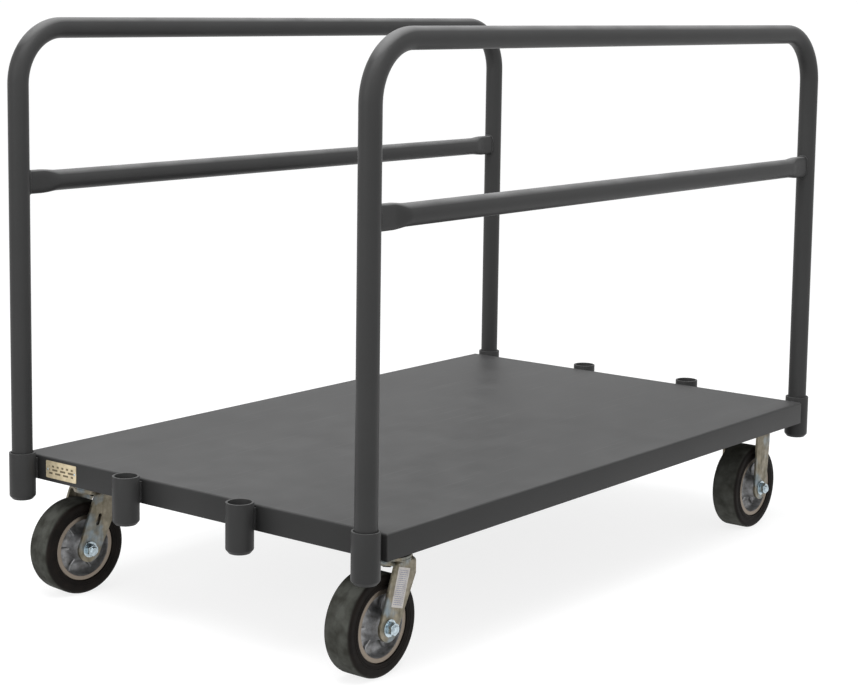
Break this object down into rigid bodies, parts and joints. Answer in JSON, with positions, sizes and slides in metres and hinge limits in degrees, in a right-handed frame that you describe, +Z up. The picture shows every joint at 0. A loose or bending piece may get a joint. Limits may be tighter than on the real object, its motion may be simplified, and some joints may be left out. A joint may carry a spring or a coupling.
{
  "type": "platform truck",
  "caption": "Flat steel deck truck with pipe sockets on its ends, lift-out inverted-U side rails with a middle rail, and swivel and rigid rubber-tyred casters.",
  "frame": {"origin": "on the floor under the centre of the deck", "axes": "+X along the deck's length towards the rigid casters, +Y across the deck towards the left rail, +Z up"},
  "size_m": [1.3036, 0.762, 0.9297],
  "materials": {
    "deck_paint": "satin dark grey paint, slightly dusty on the deck top",
    "rail_paint": "satin dark grey paint",
    "underside_steel": "satin dark grey paint",
    "zinc_fork": "dull yellowish zinc plating with faint stains",
    "zinc_bright": "bright bluish zinc plating",
    "bearing_steel": "greased steel",
    "core_alloy": "cast, rim turned bright",
    "tyre_rubber": "moulded black rubber with a dusty tread",
    "nameplate_metal": "satin, warm tint, blank",
    "label_print": null
  },
  "bodies": {
    "deck": {"deck_pan": "deck_paint", "bolster_swivel": "underside_steel", "bolster_rigid": "underside_steel", "stiffener_left": "underside_steel", "stiffener_right": "underside_steel", "socket_swivel_1": "deck_paint", "socket_swivel_2": "deck_paint", "socket_swivel_3": "deck_paint", "socket_swivel_4": "deck_paint", "socket_rigid_1": "deck_paint", "socket_rigid_2": "deck_paint", "socket_rigid_3": "deck_paint", "socket_rigid_4": "deck_paint", "socket_welds_swivel": "deck_paint", "socket_welds_rigid": "deck_paint", "nameplate": "nameplate_metal", "nameplate_rivets": "zinc_bright", "swivel_left_plate": "zinc_fork", "swivel_left_bolts": "zinc_bright", "swivel_left_kingpin": "zinc_bright", "swivel_left_balls": "bearing_steel", "rigid_left_plate": "zinc_fork", "rigid_left_bolts": "zinc_bright", "rigid_left_fork": "zinc_fork", "rigid_left_axle": "zinc_bright", "rigid_left_sleeve": "zinc_bright", "swivel_right_plate": "zinc_fork", "swivel_right_bolts": "zinc_bright", "swivel_right_kingpin": "zinc_bright", "swivel_right_balls": "bearing_steel", "rigid_right_plate": "zinc_fork", "rigid_right_bolts": "zinc_bright", "rigid_right_fork": "zinc_fork", "rigid_right_axle": "zinc_bright", "rigid_right_sleeve": "zinc_bright"},
    "rail_left": {"rail_left_hoop": "rail_paint", "rail_left_middle": "rail_paint"},
    "rail_right": {"rail_right_hoop": "rail_paint", "rail_right_middle": "rail_paint"},
    "swivel_left": {"swivel_left_fork": "zinc_fork", "swivel_left_axle": "zinc_bright", "swivel_left_sleeve": "zinc_bright"},
    "swivel_left_wheel": {"swivel_left_core": "core_alloy", "swivel_left_bearing": "bearing_steel", "swivel_left_tyre": "tyre_rubber"},
    "rigid_left_wheel": {"rigid_left_core": "core_alloy", "rigid_left_bearing": "bearing_steel", "rigid_left_tyre": "tyre_rubber"},
    "swivel_right": {"swivel_right_fork": "zinc_fork", "swivel_right_axle": "zinc_bright", "swivel_right_sleeve": "zinc_bright", "swivel_right_label": "label_print"},
    "swivel_right_wheel": {"swivel_right_core": "core_alloy", "swivel_right_bearing": "bearing_steel", "swivel_right_tyre": "tyre_rubber"},
    "rigid_right_wheel": {"rigid_right_core": "core_alloy", "rigid_right_bearing": "bearing_steel", "rigid_right_tyre": "tyre_rubber"}
  },
  "joints": [
    {"name": "rail_left_lift", "type": "slide", "parent": "deck", "child": "rail_left", "axis": [0, 0, 1], "range_m": [0, 0.12]},
    {"name": "rail_right_lift", "type": "slide", "parent": "deck", "child": "rail_right", "axis": [0, 0, 1], "range_m": [0, 0.12]},
    {"name": "swivel_left_turn", "type": "hinge", "parent": "deck", "child": "swivel_left", "pos_m": [-0.52, 0.3095, 0.16], "axis": [0, 0, 1], "continuous": true},
    {"name": "swivel_left_roll", "type": "hinge", "parent": "swivel_left", "child": "swivel_left_wheel", "pos_m": [-0.55879, 0.31358, 0.0762], "axis": [0.1045, 0.9945, 0], "continuous": true},
    {"name": "swivel_right_turn", "type": "hinge", "parent": "deck", "child": "swivel_right", "pos_m": [-0.52, -0.3095, 0.16], "axis": [0, 0, 1], "continuous": true},
    {"name": "swivel_right_roll", "type": "hinge", "parent": "swivel_right", "child": "swivel_right_wheel", "pos_m": [-0.559, -0.3095, 0.0762], "axis": [0, 1, 0], "continuous": true},
    {"name": "rigid_left_roll", "type": "hinge", "parent": "deck", "child": "rigid_left_wheel", "pos_m": [0.528, 0.3095, 0.0762], "axis": [0, 1, 0], "continuous": true},
    {"name": "rigid_right_roll", "type": "hinge", "parent": "deck", "child": "rigid_right_wheel", "pos_m": [0.528, -0.3095, 0.0762], "axis": [0, 1, 0], "continuous": true}
  ]
}
